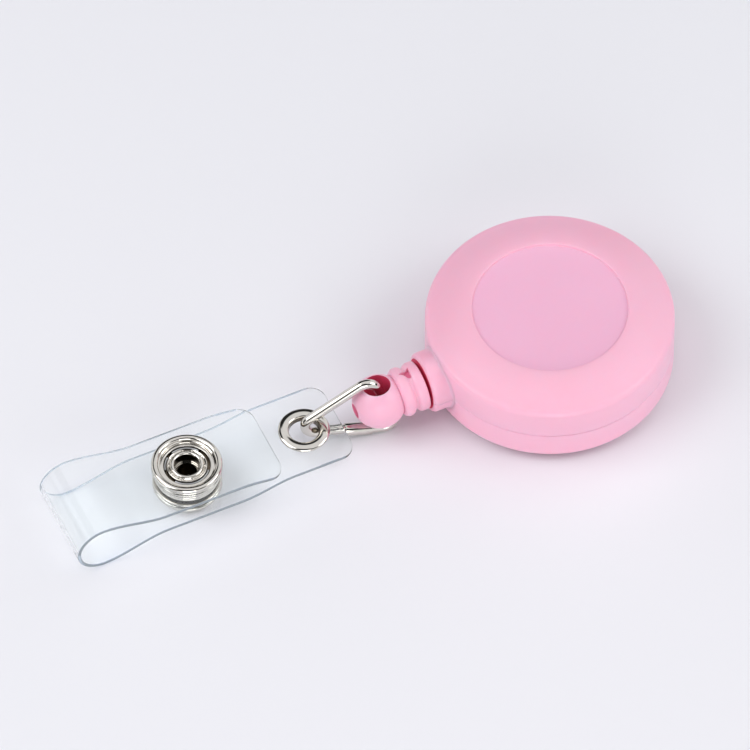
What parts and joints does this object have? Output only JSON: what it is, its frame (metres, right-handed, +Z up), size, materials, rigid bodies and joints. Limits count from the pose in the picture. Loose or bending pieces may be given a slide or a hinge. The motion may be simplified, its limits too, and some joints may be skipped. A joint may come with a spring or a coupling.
{
  "type": "retractable badge reel",
  "caption": "Round spring-wound cord reel with belt clip, ball-shaped cord end, triangular wire ring and clear snap-closed badge strap.",
  "frame": {"origin": "on the spool's axis, on the clip tongue's flat underside that the reel rests on", "axes": "+Z up along the spool's axis, -X along the cord's exit, towards the strap"},
  "size_m": [0.0846, 0.032, 0.0116],
  "materials": {
    "pink_plastic": "moulded, glossy",
    "white_plastic": "moulded, satin",
    "pink_cord": "braided nylon",
    "nickel": "bright nickel plate",
    "spring_steel": "rolled",
    "clear_vinyl": "clear flexible vinyl"
  },
  "bodies": {
    "reel": {"front_case": "pink_plastic", "back_case": "pink_plastic", "power_spring": "spring_steel", "cord_lead": "pink_cord", "clip_plate": "spring_steel", "clip_rivet": "spring_steel"},
    "spool": {"spool": "white_plastic", "spring_cover": "spring_steel", "cord_winding": "pink_cord", "cord_anchor_knot": "pink_cord"},
    "cord_end": {"cord_span": "pink_cord", "cord_end_knot": "pink_cord"},
    "fitting": {"cord_end_fitting": "pink_plastic"},
    "ring": {"wire_ring": "nickel", "ring_sleeve": "nickel"},
    "strap": {"strap_base": "clear_vinyl", "strap_loop": "clear_vinyl", "eyelet": "nickel", "eyelet_washer": "nickel", "snap_stud": "nickel", "snap_post": "nickel"},
    "flap": {"strap_flap": "clear_vinyl", "snap_cap": "nickel", "snap_socket": "nickel", "snap_spring": "spring_steel"},
    "tongue": {"clip_tongue": "spring_steel"}
  },
  "joints": [
    {"name": "cord_pull", "type": "slide", "parent": "reel", "child": "cord_end", "axis": [-1, 0, 0], "range_m": [0, 0.6], "stiffness_N_per_m": 0.8, "springref_m": -1},
    {"name": "spool_spin", "type": "hinge", "parent": "reel", "child": "spool", "pos_m": [0, 0, 0], "axis": [0, 0, 1], "range_deg": [0, 3280], "deforming": ["power_spring"]},
    {"name": "fitting_turn", "type": "hinge", "parent": "cord_end", "child": "fitting", "pos_m": [-0.0242, -0.00015, 0.00535], "axis": [0.9986, 0, 0.0523], "range_deg": [-90, 90]},
    {"name": "ring_swing", "type": "hinge", "parent": "fitting", "child": "ring", "pos_m": [-0.0251, 0.0003, 0.0101], "axis": [-0.2192, 0.153, 0.9636], "range_deg": [-60, 60]},
    {"name": "strap_tilt", "type": "hinge", "parent": "ring", "child": "strap", "pos_m": [-0.03248, 0.00125, 0.00339], "axis": [0.2197, 0.97, -0.104], "range_deg": [-30, 7]},
    {"name": "flap_open", "type": "hinge", "parent": "strap", "child": "flap", "pos_m": [-0.065, 0.0009, 0.00363], "axis": [0, -1, 0], "range_deg": [0, 75], "deforming": ["strap_loop"]},
    {"name": "clip_flex", "type": "hinge", "parent": "reel", "child": "tongue", "pos_m": [0.012, 0, 0.0008], "axis": [0, -1, 0], "range_deg": [0, 12], "stiffness_Nm_per_rad": 0.2, "springref_deg": -5.73}
  ],
  "couplings": [
    {"joint": "spool_spin", "follows": "cord_pull", "rad_per_m": 95.238}
  ]
}
